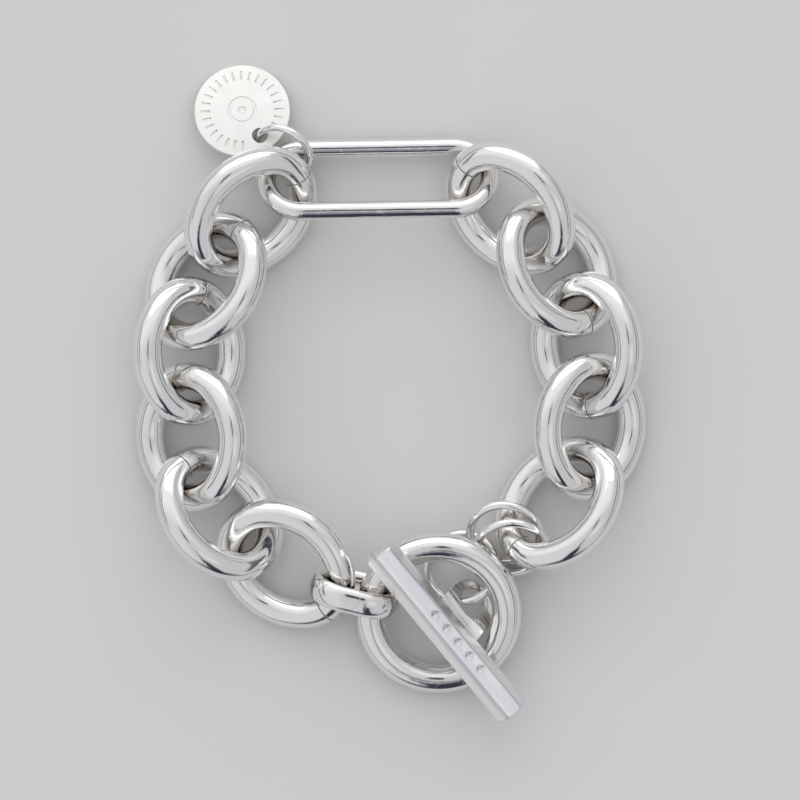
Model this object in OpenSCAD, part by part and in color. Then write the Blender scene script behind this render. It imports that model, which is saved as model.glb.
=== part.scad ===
// Chunky link bracelet with a bar-and-ring clasp and a small round tag, lying on a flat surface.
// Lengths are in millimetres, angles in degrees, and +Z points up from the surface.
// Every loop is drawn flat about its own centre, long axis along X, then turned and set in its place.

/* [Oval links] */
// Thickness of the round wire
link_wire = 4.6; // [3.6:0.1:5]
// Length over the outside
link_length = 24; // [22:0.2:28]
// Width over the outside
link_width = 20.6; // [18:0.2:24]
// Width of the hairline where a link's ends are joined
seam_width = 0.18; // [0.05:0.01:0.3]
// Depth of that hairline
seam_depth = 0.18; // [0.05:0.01:0.3]

/* [Long link] */
// Thickness of its wire
long_wire = 3; // [2:0.1:3.6]
// Length over the outside
long_length = 38.6; // [34:0.2:42]
// Width over the outside
long_width = 14.2; // [12:0.2:16]
// How far its middle lies above the top of the oval links' lowest wires
long_rise = 0.7; // [0:0.1:3]

/* [Clasp ring] */
// Thickness of its wire
ring_wire = 4.6; // [3:0.1:5]
// Diameter over the outside
ring_outer = 26.6; // [24:0.2:30]

/* [Clasp bar] */
// Distance between opposite flats of the six-sided bar
bar_flats = 5; // [3:0.1:6]
// Distance across its slightly rounded edges
bar_corners = 5.6; // [4:0.05:6]
// How far each end reaches past the ring's outside, on average
bar_over = 3.8; // [2:0.1:6]
// Bevel around the bar's ends
bar_bevel = 0.3; // [0.1:0.1:1]
// Gap between the bar and the ring that it lies on
bar_clearance = 0.25; // [0.05:0.05:0.6]
// Roll of the bar about its length
bar_roll = 13; // [-30:1:30]
// Width of each diamond mark in the top face
mark_size = 1.3; // [0.5:0.1:2]
// Depth of the marks
mark_depth = 0.26; // [0.05:0.01:0.4]
// Distance from one mark to the next
mark_pitch = 2.9; // [1.5:0.1:4]
// Number of marks
mark_count = 5; // [1:2:9]
// How far their row sits from the bar's middle, towards the end away from the connector
mark_offset = 2; // [-4:0.1:4]
// How far it sits from the middle of the face, towards the eye
mark_side = 0.3; // [-0.6:0.1:0.6]

/* [Bar eye] */
// Thickness of the eye's plate
eye_thick = 1.5; // [1.2:0.1:4]
// Width of the plate along the bar
eye_width = 9; // [7:0.1:12]
// Distance from the bar's middle to the middle of the hole
eye_reach = 8.7; // [6:0.1:11]
// How far the plate sits below the bar's middle
eye_sink = 1.6; // [0:0.1:1.8]
// How far it sits from the bar's middle, towards the end away from the connector
eye_offset = 0.7; // [-3:0.1:3]
// How far the plate dips below the bar's top face
eye_dip = 35; // [0:1:80]
// Space around the wire that runs through the hole
eye_play = 3.3; // [1:0.1:4]
// Width of the rim beyond the hole
eye_rim = 1.1; // [0.6:0.1:3]
// Bevel around both faces of the hole
eye_bevel = 0.4; // [0.2:0.1:1]

/* [Connector] */
// Width of the connector's flattened wire
connector_wide = 4.2; // [3:0.1:6]
// Thickness of the flattened wire at its middle
connector_thick = 2.2; // [1.6:0.1:3]
// Play along the connector beyond the two wires that it holds
connector_play = 1.7; // [0.5:0.1:4]
// Play across the connector beyond the thicker of those wires
connector_room = 3.1; // [1:0.1:5]

/* [Jump rings] */
// Thickness of the pair's wire
pair_wire = 1.4; // [1:0.1:2]
// Diameter of the pair over the outside
pair_outer = 12.6; // [11:0.1:14]
// Thickness of the eye ring's wire
eye_ring_wire = 1.3; // [1:0.1:2]
// Diameter of the eye ring over the outside
eye_ring_outer = 12.5; // [11:0.1:14]

/* [Tag] */
// Diameter of the round tag
tag_diameter = 15.3; // [12:0.1:18]
// Thickness at the rim
tag_thick = 0.8; // [0.5:0.1:2]
// Rise of the slightly domed face
tag_dome = 0.25; // [0.1:0.05:1]
// Thickness of the tag's jump ring wire
tag_ring_wire = 1.2; // [0.8:0.1:1.6]
// Diameter of the tag's jump ring over the outside
tag_ring_outer = 10.2; // [9:0.1:12]
// Space around that wire in the tag's hole
tag_hole_play = 1.3; // [0.5:0.1:2]
// Distance from the hole's edge to the tag's rim
tag_hole_margin = 1.3; // [0.8:0.1:3]
// Number of strokes around the face
stroke_count = 28; // [12:1:48]
// Width of each stroke
stroke_width = 0.3; // [0.15:0.05:0.8]
// Depth of the figure in the middle
figure_depth = 0.1; // [0.05:0.01:0.3]

/* [Hidden] */
$fn = 96;

// The chain as it lies: each loop's middle, the heading of its long axis, and how far it is pitched and rolled
route = [
    ["link_left_1", -22.3, 28.7, 45, 2, 34],
    ["link_left_2", -29.5, 17.8, 58, 0, -33],
    ["link_left_3", -32, 6.5, 90, 0, 34],
    ["link_left_4", -31.8, -7.2, 93, 3, -33],
    ["link_left_5", -27.3, -19.4, 132, 4, 35],
    ["link_left_6", -16.7, -27.5, 142, 2.5, -25],
    ["connector", -5.5, -32.1, -13.5, -1, 107],
    ["clasp_ring", 7.8, -35.4, 0, 0, 15.5],
    ["eye_ring", 11.6, -28.15, -51.9, 15.3, -2.7],
    ["pair_ring_lower", 19.5, -25, 0.5, 1, 43.5],
    ["pair_ring_upper", 18.4, -22.6, -1.5, 5.2, 36],
    ["link_right_5", 27.1, -17.8, 47, 4, -35],
    ["link_right_4", 32, -5.5, 86, 3, 32],
    ["link_right_3", 31.4, 7.5, 94, 3, -34],
    ["link_right_2", 26.7, 19.9, 120, 1, 33],
    ["link_right_1", 19.2, 29.3, 132, 1, -34],
    ["long_link", -1.9, 34.1, 1, -1, -26],
    ["tag_ring", -17.1, 38.8, -29, 2, 46.5],
    ["tag", -23.7, 45, 0, 0, -16.4],
];
NAME = 0;
X = 1;
Y = 2;
HEADING = 3;
PITCH = 4;
ROLL = 5;

// The sizes at which those places were chosen
drawn_link_length = 24;
drawn_long_length = 38.6;

// Where the wire's ends meet on each oval link, as an angle around its loop
seams = [
    ["link_left_1", -12],
    ["link_left_2", -8],
    ["link_left_3", -14],
    ["link_left_4", 8],
    ["link_left_5", -4],
    ["link_left_6", 165],
    ["link_right_5", 183],
    ["link_right_4", 181],
    ["link_right_3", 184],
    ["link_right_2", 173],
    ["link_right_1", 4],
];

// The bar lies on the clasp ring: its heading, and its middle's place along and across from the ring's middle
bar_heading = 128.5;
bar_along = -1.8;
bar_across = 0;

half_wire = link_wire / 2;
link_a = (link_length - link_wire) / 2;
link_b = (link_width - link_wire) / 2;
arc_offset = (link_a - link_b) / (2 - sqrt(2));
link_end_r = link_a - arc_offset;
link_side_r = link_b + arc_offset;

long_r = (long_width - long_wire) / 2;
long_flat = (long_length - long_width) / 2;

ring_r = (ring_outer - ring_wire) / 2;
bar_length = ring_outer + 2 * bar_over;

connector_r = (max(link_wire, ring_wire) + connector_room + connector_thick) / 2;
connector_flat = (link_wire + ring_wire + connector_play + connector_thick) / 2 - connector_r;

eye_hole = eye_ring_wire + eye_play;
eye_round_at = eye_reach + eye_hole / 2 + eye_rim - eye_width / 2;
tag_hole = tag_ring_wire + tag_hole_play;
tag_hole_at = (tag_diameter - tag_hole) / 2 - tag_hole_margin;
tag_hole_heading = -56;
dome_r = (pow(tag_diameter / 2, 2) + pow(tag_dome, 2)) / (2 * tag_dome);

silver = [0.86, 0.86, 0.85];
white_silver = [0.93, 0.93, 0.91];

function drawn_place(name) = route[search([name], route)[0]];
drawn_clasp = drawn_place("clasp_ring");
drawn_top = drawn_place("long_link");

// The chain's two sides follow the long link's ends, all the way at the top and not at all at the clasp
function aside(at) =
    sign(at[X] - drawn_top[X])
    * (long_length - drawn_long_length) / 2
    * min(1, (at[Y] - drawn_clasp[Y]) / (drawn_top[Y] - drawn_clasp[Y]));

// The long link and the tag follow the ends of the oval links that hold them
function upward(at) =
    at[Y] < drawn_top[Y]
        ? 0
        : (link_length - drawn_link_length) / 2 * sin(drawn_place("link_left_1")[HEADING]);

function place(name) =
    let (at = drawn_place(name))
    [at[NAME], at[X] + aside(at), at[Y] + upward(at), at[HEADING], at[PITCH], at[ROLL]];

// How steeply a loop's long axis and its cross axis run
function along_slope(name) = abs(sin(place(name)[PITCH]));
function across_slope(name) = abs(cos(place(name)[PITCH]) * sin(place(name)[ROLL]));

// How far a circle of radius r reaches below its middle, tilted as the named loop is
function circle_drop(r, name) = r * norm([along_slope(name), across_slope(name)]);

// The same for two half circles joined by straight runs of half length flat
function slot_drop(flat, r, name) = flat * along_slope(name) + circle_drop(r, name);

// The same for the oval of four quarter turns
function oval_drop(name) =
    across_slope(name) < along_slope(name)
        ? circle_drop(link_end_r, name) + arc_offset * along_slope(name)
        : circle_drop(link_side_r, name) - arc_offset * across_slope(name);

module put(name, z) {
    at = place(name);
    translate([at[X], at[Y], z])
        rotate([at[ROLL], -at[PITCH], at[HEADING]])
            children();
}

// Round wire bent to part of a circle, from one angle around to another
module bent_wire(radius, wire, from = 0, turn = 360) {
    rotate([0, 0, from])
        rotate_extrude(angle = turn)
            translate([radius, 0])
                circle(d = wire);
}

// Oval of four quarter turns, tighter at the two ends
module oval_loop() {
    for (side = [0, 180])
        rotate([0, 0, side]) {
            translate([arc_offset, 0, 0])
                bent_wire(link_end_r, link_wire, -45, 90);
            translate([0, -arc_offset, 0])
                bent_wire(link_side_r, link_wire, 45, 90);
        }
}

// Hairline around the wire where the loop's outward direction is at the given angle
module seam(at) {
    near = cos(at) > 0 ? 1 : -1;
    translate([near * arc_offset, 0, 0])
        rotate([0, 0, at])
            translate([link_end_r, 0, 0])
                rotate([90, 0, 0])
                    rotate_extrude()
                        translate([half_wire - seam_depth, -seam_width / 2])
                            square([2 * seam_depth, seam_width]);
}

module chain_link(name, seam_at) {
    color(silver)
        put(name, half_wire + oval_drop(name))
            difference() {
                oval_loop();
                seam(seam_at);
            }
}

module long_link() {
    color(silver)
        put("long_link", link_wire + long_rise)
            for (side = [0, 180])
                rotate([0, 0, side]) {
                    translate([long_flat, 0, 0])
                        bent_wire(long_r, long_wire, -90, 180);
                    translate([-long_flat, long_r, 0])
                        rotate([0, 90, 0])
                            cylinder(d = long_wire, h = 2 * long_flat);
                }
}

module in_ring_frame() {
    put("clasp_ring", ring_wire / 2 + circle_drop(ring_r, "clasp_ring"))
        children();
}

module clasp_ring() {
    color(silver)
        in_ring_frame()
            bent_wire(ring_r, ring_wire);
}

// Six-sided rod along X with a flat on top, its edges eased and its ends bevelled
module bar_rod() {
    intersection() {
        translate([-bar_length / 2, 0, 0])
            rotate([0, 90, 0])
                linear_extrude(bar_length)
                    rotate([0, 0, 30])
                        circle(d = bar_flats / cos(30), $fn = 6);
        rotate([0, 90, 0])
            rotate_extrude()
                polygon([
                    [0, -bar_length / 2],
                    [bar_corners / 2 - bar_bevel, -bar_length / 2],
                    [bar_corners / 2, -bar_length / 2 + bar_bevel],
                    [bar_corners / 2, bar_length / 2 - bar_bevel],
                    [bar_corners / 2 - bar_bevel, bar_length / 2],
                    [0, bar_length / 2],
                ]);
    }
}

// V-shaped groove along X, and its mirror image above the face that it is cut in
module groove() {
    rotate([90, 0, 90])
        linear_extrude(mark_size, center = true)
            polygon([[-mark_size / 2, 0], [0, -mark_depth], [mark_size / 2, 0], [0, mark_depth]]);
}

// Row of plain diamonds punched to a point in the top face
module bar_marks() {
    for (i = [0 : mark_count - 1])
        translate([(i - (mark_count - 1) / 2) * mark_pitch - mark_offset, -mark_side, bar_flats / 2])
            intersection() {
                rotate([0, 0, 45])
                    groove();
                rotate([0, 0, -45])
                    groove();
            }
}

// Round hole through the eye's plate, bevelled at both faces
module eye_bore() {
    flare = eye_hole / 2 + 2 * eye_bevel;
    face = eye_thick / 2 + eye_bevel;
    waist = eye_thick / 2 - eye_bevel;
    rotate_extrude()
        polygon([
            [0, -face],
            [flare, -face],
            [eye_hole / 2, -waist],
            [eye_hole / 2, waist],
            [flare, face],
            [0, face],
        ]);
}

// Flat plate with a round end and a hole, reaching from inside the bar
module bar_eye() {
    translate([-eye_offset, 0, 0])
        rotate([eye_dip, 0, 0])
            translate([0, 0, -eye_sink])
                difference() {
                    translate([0, 0, -eye_thick / 2])
                        linear_extrude(eye_thick) {
                            translate([-eye_width / 2, -eye_round_at])
                                square([eye_width, eye_round_at]);
                            translate([0, -eye_round_at])
                                circle(d = eye_width);
                        }
                    translate([0, -eye_reach, 0])
                        eye_bore();
                }
}

module clasp_bar() {
    color(silver)
        in_ring_frame()
            rotate([0, 0, bar_heading])
                translate([bar_along, bar_across, (ring_wire + bar_corners) / 2 + bar_clearance])
                    rotate([bar_roll, 0, 0])
                        union() {
                            difference() {
                                bar_rod();
                                bar_marks();
                            }
                            bar_eye();
                        }
}

// Flattened wire, domed on both faces
module connector_section() {
    scale([connector_thick / connector_wide, 1])
        circle(d = connector_wide);
}

module connector() {
    name = "connector";
    across = connector_thick * circle_drop(1, name);
    upright = connector_wide * cos(place(name)[PITCH]) * cos(place(name)[ROLL]);
    half_height = norm([across, upright]) / 2;
    color(silver)
        put(name, half_height + slot_drop(connector_flat, connector_r, name))
            for (side = [0, 180])
                rotate([0, 0, side]) {
                    translate([connector_flat, 0, 0])
                        rotate([0, 0, -90])
                            rotate_extrude(angle = 180)
                                translate([connector_r, 0])
                                    connector_section();
                    translate([-connector_flat, connector_r, 0])
                        rotate([90, 0, 90])
                            linear_extrude(2 * connector_flat)
                                connector_section();
                }
}

module jump_ring(name, outer, wire) {
    radius = (outer - wire) / 2;
    color(silver)
        put(name, wire / 2 + circle_drop(radius, name))
            bent_wire(radius, wire);
}

// Round plate with a slightly domed face
module tag_blank() {
    rotate_extrude()
        intersection() {
            translate([0, -tag_thick / 2])
                square([tag_diameter / 2, tag_thick + tag_dome]);
            translate([0, tag_thick / 2 + tag_dome - dome_r])
                circle(r = dome_r, $fn = 720);
        }
}

// Short strokes around the face, sunk to the level of its rim and left out beside the hole
module tag_strokes() {
    step = 360 / stroke_count;
    for (i = [0 : stroke_count - 1])
        if (abs((i + 0.5) * step - 180) > 28)
            rotate([0, 0, tag_hole_heading + 180 + (i + 0.5) * step])
                translate([tag_diameter * 0.34, -stroke_width / 2, tag_thick / 2])
                    cube([tag_diameter * 0.09, stroke_width, tag_dome]);
}

// Plain sunk ring with a dot in it, in the middle of the face
module tag_figure() {
    translate([0, 0, tag_thick / 2 + tag_dome - figure_depth])
        linear_extrude(tag_dome) {
            difference() {
                circle(r = tag_diameter * 0.15);
                circle(r = tag_diameter * 0.12);
            }
            circle(r = tag_diameter * 0.04);
        }
}

module tag() {
    half_height = tag_thick / 2 * cos(place("tag")[PITCH]) * cos(place("tag")[ROLL]);
    color(white_silver)
        put("tag", half_height + circle_drop(tag_diameter / 2, "tag"))
            difference() {
                tag_blank();
                tag_strokes();
                tag_figure();
                rotate([0, 0, tag_hole_heading])
                    translate([tag_hole_at, 0, -tag_thick])
                        cylinder(d = tag_hole, h = 3 * tag_thick);
            }
}

for (row = seams)
    chain_link(row[0], row[1]);
long_link();
connector();
clasp_ring();
clasp_bar();
jump_ring("eye_ring", eye_ring_outer, eye_ring_wire);  // eye_ring
jump_ring("pair_ring_lower", pair_outer, pair_wire);  // pair_ring_lower
jump_ring("pair_ring_upper", pair_outer, pair_wire);  // pair_ring_upper
jump_ring("tag_ring", tag_ring_outer, tag_ring_wire);  // tag_ring
tag();
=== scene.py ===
"""Looks of a chunky silver link bracelet: silver finishes, floor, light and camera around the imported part.

Lengths are in metres in the part's own frame: +Z is up from the floor, +Y from the clasp to the long link.
"""

import math

import bpy
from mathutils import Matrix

MM = 0.001

# The camera looks straight down, with the part's origin at this pixel of the frame. One pixel covers this
# length at the height at which the photograph was scaled.
IMAGE_SIDE_PX = 800
ORIGIN_PX = (390, 392)
PX = 0.16 * MM
SCALE_HEIGHT = 6 * MM
CAMERA_HEIGHT = 1.6
CLIP_END = 20
SENSOR = 36

# The floor, its gap below the part, and its mottling
FLOOR_SIDE = 6.0
FLOOR_GAP = 0.03 * MM
MOTTLE = 20 * MM
MOTTLE_LEVELS = (0.3, 0.7)
FLOOR_ROUGHNESS = (0.5, 0.62)

# The light tent. A panel on its ceiling is a rectangle on a plane one unit above the part: its limits east
# and north, the softness of its borders, and its light. A panel on its walls has, in place of the limits
# east, the limits of how far east it lies for each unit north or south. Elsewhere the tent has its shade, and
# it darkens between these two heights towards the horizon.
FAR = 60.0
SHADE = (0.58, 0.58, 0.585, 1)
HORIZON = (0.12, 0.12, 0.13, 1)
HORIZON_HEIGHTS = (0.02, 0.13)
CEILING_PANELS = [
    (-FAR, -0.25, -FAR, FAR, 0.25, 0.3, (0.69, 0.69, 0.695, 1)),
    (-2.5, 0.7, 0.25, FAR, 0.4, 0.25, (0.88, 0.88, 0.88, 1)),
    (0.18, 0.7, -0.55, -0.1, 0.1, 0.1, (0.74, 0.74, 0.76, 1)),
]
WALL_PANELS = [
    (-0.8, 0.65, 0.95, FAR, 0.15, 0.15, (1.5, 1.5, 1.48, 1)),
    (-0.04, 0.16, -1.1, -0.3, 0.05, 0.1, (0.25, 0.25, 0.28, 1)),
    (-0.4, 0.5, -FAR, -3.0, 0.15, 0.6, (0.15, 0.15, 0.17, 1)),
    (-0.12, 0.25, -FAR, -0.9, 0.05, 0.12, (0.04, 0.04, 0.06, 1)),
]
# The ribs of the tent's frame, as panels on its ceiling
RIBS = [
    (2.0, 2.8, -1.6, 1.6, 0.1, 0.3, (0.12, 0.12, 0.13, 1)),
    (-3.4, -2.4, -0.8, 1.4, 0.1, 0.3, (0.12, 0.12, 0.13, 1)),
    (-2.2, 2.2, 2.3, 2.8, 0.3, 0.08, (0.25, 0.25, 0.27, 1)),
]
# The gap for the lens: where it is on the ceiling, how far it reaches east and north, and its darkness. Its
# border fades between these two squares of the distance from its middle, measured in those reaches.
GAP = (0.03, 0.04, 0.07, 0.16, (0.06, 0.06, 0.08, 1))
GAP_FADE = (0.5, 1.5)
# The least height and the least distance north or south that a direction is divided by
LEAST = 0.02

COLOURS = {
    "cool": (0.9, 0.905, 0.91, 1),
    "bright": (0.97, 0.975, 0.98, 1),
    "lavender": (0.87, 0.875, 0.92, 1),
    # warm: the colour of random warm patches and of the painted warm reflection near other metal
    "warm": (0.8, 0.74, 0.68, 1),
    # the colour of painted shade in the gaps between parts and of tarnish in the bar's marks
    "shade_and_tarnish": (0.4, 0.36, 0.32, 1),
    "dark": (0.12, 0.11, 0.1, 1),
    "white": (0.98, 0.98, 0.965, 1),
    "floor": (0.86, 0.86, 0.855, 1),
}

# Polished silver: its tint, its least roughness and what filing adds to that, the height of its waves, how
# much warmer it gets in random patches and with a painted warm reflection where metal faces metal, and the
# radius of its edges
POLISHED = {
    "link": dict(tint="cool", roughness=0.04, filing=0.0, waves=0.09 * MM, warmth_and_reflection=0.55, edge=0.15 * MM),
    "clasp": dict(tint="cool", roughness=0.04, filing=0.0, waves=0.06 * MM, warmth_and_reflection=0.5, edge=0.15 * MM),
    "bar": dict(tint="bright", roughness=0.05, filing=0.08, waves=0.01 * MM, warmth_and_reflection=0.6, edge=0.4 * MM),
    "wire": dict(tint="bright", roughness=0.05, filing=0.0, waves=0.02 * MM, warmth_and_reflection=0.5, edge=0.15 * MM),
}
# The nodes that have another finish than the oval links and the long link
FINISH_OF = {
    "clasp_ring": "clasp",
    "clasp_bar": "bar",
    "connector": "clasp",
    "eye_ring": "wire",
    "pair_ring_lower": "wire",
    "pair_ring_upper": "wire",
    "tag_ring": "wire",
    "tag": "tag",
}

# Waves and the ripples on them: their size, and how high the ripples are as a share of the waves
WAVE = 6 * MM
RIPPLE = 2.2 * MM
RIPPLE_SHARE = 0.22

# Smears: their size, where in the noise they lie, and how much they dull the metal
SMEAR = 4 * MM
SMEAR_LEVELS = (0.35, 0.75)
SMEAR_ROUGHNESS = 0.1

# Hairline scratches: their spacing, their width as a share of the noise's range, and the level of a second
# noise above which they show
WIDE_HAIRLINES = (2.5 * MM, 0.012, 0.52)
CLOSE_HAIRLINES = (1.1 * MM, 0.02, 0.58)
TAG_HAIRLINES = (1.4 * MM, 0.02, 0.55)
# How much they wander, the second noise's size against their spacing, how softly it lets them fade, and their
# depth and roughness
HAIRLINE_WANDER = 0.4
HAIRLINE_PATCH = 1.7
HAIRLINE_FADE = 0.08
HAIRLINE_DEPTH = 0.004 * MM
HAIRLINE_ROUGHNESS = 0.12

# Warm patches: their size, where in the noise they lie, and how warm they get as a share of the finish's
# warmth
WARM_PATCH = 9 * MM
WARM_LEVELS = (0.45, 0.75)
WARM_SHARE = 0.25
# Painted shade in a gap, and in a seam dirt with painted shade where parts touch: how near the metal around
# them is, how enclosed they are where they begin and where they are full, and how much of the silver they
# then cover
GAP_REACH = 5 * MM
GAP_SHADE_LEVELS = (0.55, 0.95)
GAP_SHADE_SHARE = 0.6
SEAM_REACH = 0.5 * MM
SEAM_LEVELS = (0.3, 0.8)
SEAM_SHARE = 0.9

# The direction that the clasp's bar points in, seen from above, in degrees
BAR_HEADING = 129.5
# How far across that direction the eye plate ends and the bar begins, and the softness of that border
EYE_EDGE = 14.2 * MM
EYE_BORDER = 0.1 * MM
# Painted bands of light and shade along the bar, from the eye outwards: a painted dull reflection in a strip
# on its top face, painted shade on the ridge beside that face, and a painted highlight on the side beyond.
# Each has its limits across the bar's direction, the softness of its borders, and its tone.
BAR_LIGHT_AND_SHADE_BANDS = [
    (17.3 * MM, 17.6 * MM, 0.4 * MM, (0.82, 0.83, 0.88, 1)),
    (18.55 * MM, 18.8 * MM, 0.25 * MM, (0.46, 0.47, 0.52, 1)),
    (19.2 * MM, 22.0 * MM, 0.2 * MM, (1.0, 1.0, 1.0, 1)),
]
# The traces of the file: their width, how much longer they are, and where in the noise they lie
FILED = 2.2 * MM
FILED_STRETCH = 40
FILED_LEVELS = (0.35, 0.6)
# Tarnish in the bar's marks, with painted shade where the bar meets other metal, in the same way as the
# painted shade in a gap
MARK_REACH = 0.8 * MM
MARK_LEVELS = (0.1, 0.4)
MARK_SHARE = 0.3

# The tag's satin silver: its warmth in patches and its painted warm reflection near other metal, the radius
# of its edges, its rubbed patches and roughness, and its grain
TAG_WARMTH_AND_REFLECTION = 0.35
TAG_EDGE = 0.12 * MM
RUBBED = 3 * MM
RUBBED_LEVELS = (0.3, 0.75)
SATIN_ROUGHNESS = (0.42, 0.58)
GRAIN = 0.25 * MM
GRAIN_DEPTH = 0.012 * MM

# The Mix node's sockets for colours, and the samples of the nodes that look around a point
MIX_SHARE = 0
MIX_FIRST = 6
MIX_SECOND = 7
MIX_RESULT = 2
RECESS_SAMPLES = 12
EDGE_SAMPLES = 6


def link(tree, value, socket):
    """Joins a socket to another, or sets its plain value."""
    if isinstance(value, bpy.types.NodeSocket):
        tree.links.new(value, socket)
    else:
        socket.default_value = value


def turned(tree, heading, stretch=1.0):
    """The object's own coordinates, turned so that X runs along a heading, and stretched along it."""
    coordinates = tree.nodes.new("ShaderNodeTexCoord")
    mapping = tree.nodes.new("ShaderNodeMapping")
    mapping.vector_type = "TEXTURE"
    tree.links.new(coordinates.outputs["Object"], mapping.inputs["Vector"])
    mapping.inputs["Rotation"].default_value = (0, 0, math.radians(heading))
    mapping.inputs["Scale"].default_value = (stretch, 1, 1)
    return mapping.outputs["Vector"]


def noise(tree, feature, detail=2.0, roughness=0.5, distortion=0.0, stretch=1.0, heading=0.0):
    """Smooth noise from 0 to 1, its features about that many metres across and stretched along a heading."""
    made = tree.nodes.new("ShaderNodeTexNoise")
    tree.links.new(turned(tree, heading, stretch), made.inputs["Vector"])
    made.inputs["Scale"].default_value = 1 / feature
    made.inputs["Detail"].default_value = detail
    made.inputs["Roughness"].default_value = roughness
    made.inputs["Distortion"].default_value = distortion
    return made.outputs["Fac"]


def arithmetic(tree, operation, first, second=0.0):
    """One Math node."""
    made = tree.nodes.new("ShaderNodeMath")
    made.operation = operation
    link(tree, first, made.inputs[0])
    link(tree, second, made.inputs[1])
    return made.outputs[0]


def remap(tree, value, levels, results=(0.0, 1.0)):
    """Takes values between two levels to between two results, clamped at both."""
    made = tree.nodes.new("ShaderNodeMapRange")
    link(tree, value, made.inputs["Value"])
    made.inputs["From Min"].default_value, made.inputs["From Max"].default_value = levels
    made.inputs["To Min"].default_value, made.inputs["To Max"].default_value = results
    return made.outputs["Result"]


def window(tree, value, low, high, soft):
    """1 between two limits and 0 outside them, with soft borders."""
    rise = remap(tree, value, (low - soft, low + soft))
    fall = remap(tree, value, (high - soft, high + soft), (1.0, 0.0))
    return arithmetic(tree, "MULTIPLY", rise, fall)


def mixed(tree, share, first, second):
    """A colour between two others."""
    made = tree.nodes.new("ShaderNodeMix")
    made.data_type = "RGBA"
    link(tree, share, made.inputs[MIX_SHARE])
    link(tree, first, made.inputs[MIX_FIRST])
    link(tree, second, made.inputs[MIX_SECOND])
    return made.outputs[MIX_RESULT]


def recess(tree, reach):
    """How enclosed a point is by metal within that reach: 0 in the open, 1 deep in a gap."""
    made = tree.nodes.new("ShaderNodeAmbientOcclusion")
    made.samples = RECESS_SAMPLES
    made.inputs["Distance"].default_value = reach
    return arithmetic(tree, "SUBTRACT", 1.0, made.outputs["AO"])


def bump(tree, height, depth, under):
    """The normal of a surface raised by height times depth, on top of another normal."""
    made = tree.nodes.new("ShaderNodeBump")
    made.inputs["Strength"].default_value = 1
    made.inputs["Distance"].default_value = depth
    tree.links.new(height, made.inputs["Height"])
    tree.links.new(under, made.inputs["Normal"])
    return made.outputs["Normal"]


def softened_edges(tree, radius):
    """The normal of a surface whose sharp edges are rounded to that radius."""
    made = tree.nodes.new("ShaderNodeBevel")
    made.samples = EDGE_SAMPLES
    made.inputs["Radius"].default_value = radius
    return made.outputs["Normal"]


def hairlines(tree, spacing, width, level):
    """Thin wandering scratches, 1 on a line and 0 between lines, broken up to show here and there."""
    wander = noise(tree, spacing, detail=1.0, distortion=HAIRLINE_WANDER)
    off_line = arithmetic(tree, "ABSOLUTE", arithmetic(tree, "SUBTRACT", wander, 0.5))
    line = remap(tree, off_line, (0.0, width), (1.0, 0.0))
    patch = noise(tree, spacing * HAIRLINE_PATCH, detail=1.0)
    return arithmetic(tree, "MULTIPLY", line, remap(tree, patch, (level, level + HAIRLINE_FADE)))


def scratched(tree, scratches, under):
    """The normal of a surface with scratches cut into it, on top of another normal."""
    return bump(tree, arithmetic(tree, "SUBTRACT", 1.0, scratches), HAIRLINE_DEPTH, under)


def metal(name):
    """A new metallic material: itself, its node tree and its main shader."""
    material = bpy.data.materials.new(name)
    material.use_nodes = True
    tree = material.node_tree
    shader = tree.nodes["Principled BSDF"]
    shader.inputs["Metallic"].default_value = 1
    return material, tree, shader


def silver_tone(tree, tint, warmth_and_reflection):
    """Silver that is warm in patches, with a painted warm reflection near other metal, painted shade in the
    gaps, and dark in the seams with dirt and with painted shade where parts touch.
    """
    patches = remap(tree, noise(tree, WARM_PATCH, detail=3), WARM_LEVELS, (0.0, WARM_SHARE * warmth_and_reflection))
    enclosed = recess(tree, GAP_REACH)
    # Painted warm reflection where metal faces metal, added to the random warm patches
    share = arithmetic(tree, "ADD", patches, arithmetic(tree, "MULTIPLY", enclosed, warmth_and_reflection))
    tone = mixed(tree, share, tint, COLOURS["warm"])
    # Painted shade in the gaps between parts, where metal encloses the surface
    shade_and_tarnish = remap(tree, enclosed, GAP_SHADE_LEVELS, (0.0, GAP_SHADE_SHARE))
    gap_shaded = mixed(tree, shade_and_tarnish, tone, COLOURS["shade_and_tarnish"])
    # Dark in seams: dirt in the seams, and painted shade where parts touch
    seam = remap(tree, recess(tree, SEAM_REACH), SEAM_LEVELS, (0.0, SEAM_SHARE))
    return mixed(tree, seam, gap_shaded, COLOURS["dark"])


def across_bar(tree):
    """How far across the bar's direction a point lies, seen from above."""
    split = tree.nodes.new("ShaderNodeSeparateXYZ")
    tree.links.new(turned(tree, BAR_HEADING), split.inputs[0])
    return split.outputs["Y"]


def filed_traces_and_painted_bands(tree):
    """The bar's silver: filed lengthwise, with painted bands of light and shade along it, and darker with
    tarnish in the marks punched in it and with painted shade where it meets other metal.
    """
    traces = noise(tree, FILED, detail=0, stretch=FILED_STRETCH, heading=BAR_HEADING)
    tone = mixed(tree, remap(tree, traces, FILED_LEVELS), COLOURS["lavender"], COLOURS["bright"])
    across = across_bar(tree)
    # Painted bands: a dull painted reflection on the top face, painted shade on the ridge and a painted
    # highlight on the side beyond
    for low, high, soft, shade in BAR_LIGHT_AND_SHADE_BANDS:
        tone = mixed(tree, window(tree, across, low, high, soft), tone, shade)
    # Tarnish in the marks, and painted shade where the bar meets other metal
    hollow = remap(tree, recess(tree, MARK_REACH), MARK_LEVELS, (0.0, MARK_SHARE))
    return mixed(tree, hollow, tone, COLOURS["shade_and_tarnish"])


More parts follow.
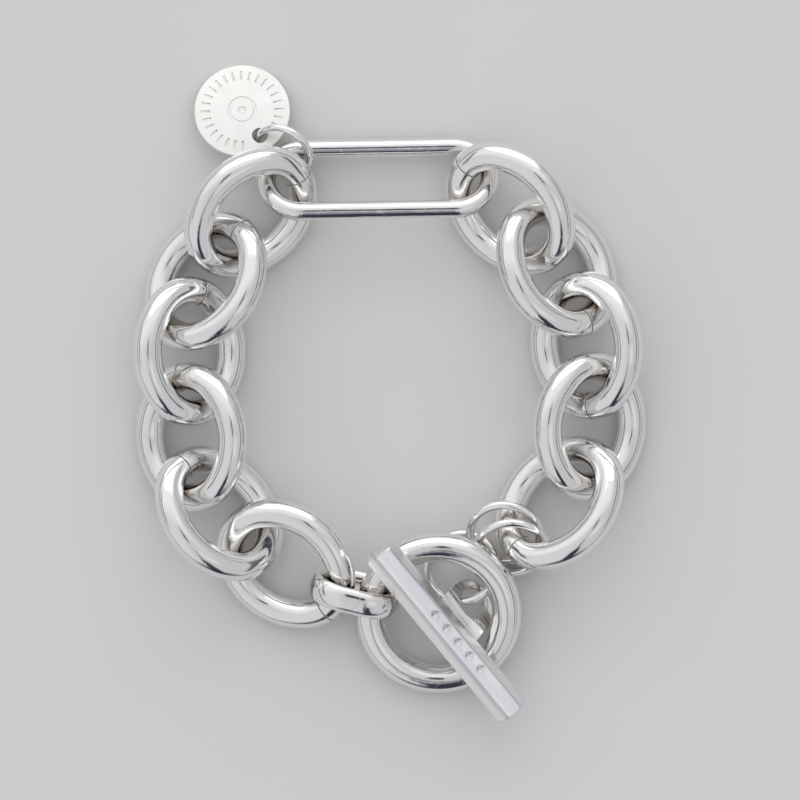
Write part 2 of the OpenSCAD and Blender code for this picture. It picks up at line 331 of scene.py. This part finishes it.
def polished_silver(name, tint, roughness, filing, waves, warmth_and_reflection, edge):
    """Hand-polished silver: wavy reflections, hairline scratches and smears of slightly duller metal.

    Filing gives the clasp's bar its traces and dulls it, and the bar carries painted bands of light and
    shade, up to its polished eye plate.
    """
    material, tree, shader = metal(name)
    tone = COLOURS[tint]
    scratches = arithmetic(
        tree, "MAXIMUM", hairlines(tree, *WIDE_HAIRLINES), hairlines(tree, *CLOSE_HAIRLINES)
    )
    smears = noise(tree, SMEAR, detail=4, roughness=0.6, distortion=0.6)
    smeared = remap(tree, smears, SMEAR_LEVELS, (roughness, roughness + SMEAR_ROUGHNESS))
    rough = arithmetic(tree, "ADD", smeared, arithmetic(tree, "MULTIPLY", scratches, HAIRLINE_ROUGHNESS))
    if filing:
        on_bar = remap(tree, across_bar(tree), (EYE_EDGE - EYE_BORDER, EYE_EDGE + EYE_BORDER))
        tone = mixed(tree, on_bar, tone, filed_traces_and_painted_bands(tree))
        rough = arithmetic(tree, "ADD", rough, arithmetic(tree, "MULTIPLY", on_bar, filing))
    link(tree, silver_tone(tree, tone, warmth_and_reflection), shader.inputs["Base Color"])
    link(tree, rough, shader.inputs["Roughness"])
    wavy = bump(tree, noise(tree, WAVE), waves, softened_edges(tree, edge))
    rippled = bump(tree, noise(tree, RIPPLE), RIPPLE_SHARE * waves, wavy)
    link(tree, scratched(tree, scratches, rippled), shader.inputs["Normal"])
    return material


def satin_silver(name):
    """Blasted white silver with a fine grain, rubbed a little smoother in patches."""
    material, tree, shader = metal(name)
    link(tree, silver_tone(tree, COLOURS["white"], TAG_WARMTH_AND_REFLECTION), shader.inputs["Base Color"])
    rubbed = remap(tree, noise(tree, RUBBED, detail=4), RUBBED_LEVELS, SATIN_ROUGHNESS)
    link(tree, rubbed, shader.inputs["Roughness"])
    grain = bump(tree, noise(tree, GRAIN), GRAIN_DEPTH, softened_edges(tree, TAG_EDGE))
    link(tree, scratched(tree, hairlines(tree, *TAG_HAIRLINES), grain), shader.inputs["Normal"])
    return material


def finish_nodes(nodes):
    """Gives every solid of the part its own finish."""
    finishes = {kind: polished_silver(f"{kind}_silver", **values) for kind, values in POLISHED.items()}
    finishes["tag"] = satin_silver("tag_silver")
    for name, solid in nodes.items():
        solid.data.materials.clear()
        solid.data.materials.append(finishes[FINISH_OF.get(name, "link")])


def floor():
    """A plain pale floor just under the part."""
    bpy.ops.mesh.primitive_plane_add(size=FLOOR_SIDE, location=(0, 0, -FLOOR_GAP))
    plane = bpy.context.object
    plane.name = "floor"
    material = bpy.data.materials.new("pale_floor")
    material.use_nodes = True
    tree = material.node_tree
    shader = tree.nodes["Principled BSDF"]
    shader.inputs["Base Color"].default_value = COLOURS["floor"]
    mottled = remap(tree, noise(tree, MOTTLE, detail=3), MOTTLE_LEVELS, FLOOR_ROUGHNESS)
    link(tree, mottled, shader.inputs["Roughness"])
    plane.data.materials.append(material)


def with_panels(tree, colour, panels, across, along):
    """Lays panels over a colour, in the two directions that they are measured in."""
    for low_across, high_across, low_along, high_along, soft_across, soft_along, shade in panels:
        share = arithmetic(
            tree,
            "MULTIPLY",
            window(tree, across, low_across, high_across, soft_across),
            window(tree, along, low_along, high_along, soft_along),
        )
        colour = mixed(tree, share, colour, shade)
    return colour


def with_gap(tree, colour, east, north):
    """Lays the gap for the lens over a colour: a soft dark oval on the ceiling."""
    at_east, at_north, wide, long, shade = GAP
    across = arithmetic(tree, "DIVIDE", arithmetic(tree, "SUBTRACT", east, at_east), wide)
    along = arithmetic(tree, "DIVIDE", arithmetic(tree, "SUBTRACT", north, at_north), long)
    squares = [arithmetic(tree, "POWER", offset, 2.0) for offset in (across, along)]
    share = remap(tree, arithmetic(tree, "ADD", *squares), GAP_FADE, (1.0, 0.0))
    return mixed(tree, share, colour, shade)


def room():
    """A white light tent with a bright back wall, a narrow opening in front and a gap for the lens above."""
    world = bpy.data.worlds.new("studio")
    bpy.context.scene.world = world
    world.use_nodes = True
    tree = world.node_tree
    background = tree.nodes["Background"]
    direction = tree.nodes.new("ShaderNodeTexCoord")
    split = tree.nodes.new("ShaderNodeSeparateXYZ")
    tree.links.new(direction.outputs["Generated"], split.inputs[0])
    up = arithmetic(tree, "MAXIMUM", split.outputs["Z"], LEAST)
    east = arithmetic(tree, "DIVIDE", split.outputs["X"], up)
    north = arithmetic(tree, "DIVIDE", split.outputs["Y"], up)
    away = arithmetic(tree, "MAXIMUM", arithmetic(tree, "ABSOLUTE", north), LEAST)
    slant = arithmetic(tree, "DIVIDE", east, away)
    colour = with_panels(tree, SHADE, CEILING_PANELS, east, north)
    colour = with_panels(tree, colour, WALL_PANELS, slant, north)
    colour = with_panels(tree, colour, RIBS, east, north)
    colour = with_gap(tree, colour, east, north)
    colour = mixed(tree, remap(tree, split.outputs["Z"], HORIZON_HEIGHTS), HORIZON, colour)
    link(tree, colour, background.inputs["Color"])
    background.inputs["Strength"].default_value = 1


def camera():
    """A long lens straight above, with the part placed in the square frame as in the photograph."""
    middle = IMAGE_SIDE_PX / 2
    x = (middle - ORIGIN_PX[0]) * PX
    y = (ORIGIN_PX[1] - middle) * PX
    data = bpy.data.cameras.new("camera")
    data.sensor_width = SENSOR
    data.lens = SENSOR * (CAMERA_HEIGHT - SCALE_HEIGHT) / (IMAGE_SIDE_PX * PX)
    data.clip_end = CLIP_END
    made = bpy.data.objects.new("camera", data)
    made.location = (x, y, CAMERA_HEIGHT)
    bpy.context.scene.collection.objects.link(made)
    bpy.context.scene.camera = made


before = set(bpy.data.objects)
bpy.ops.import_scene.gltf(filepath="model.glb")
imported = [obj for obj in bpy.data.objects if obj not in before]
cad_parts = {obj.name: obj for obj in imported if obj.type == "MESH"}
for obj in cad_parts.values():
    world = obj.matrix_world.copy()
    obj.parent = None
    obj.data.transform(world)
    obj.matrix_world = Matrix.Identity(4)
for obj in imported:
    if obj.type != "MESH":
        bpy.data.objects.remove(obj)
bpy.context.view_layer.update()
camera()
finish_nodes(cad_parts)
floor()
room()
bpy.context.scene.view_settings.view_transform = "Standard"
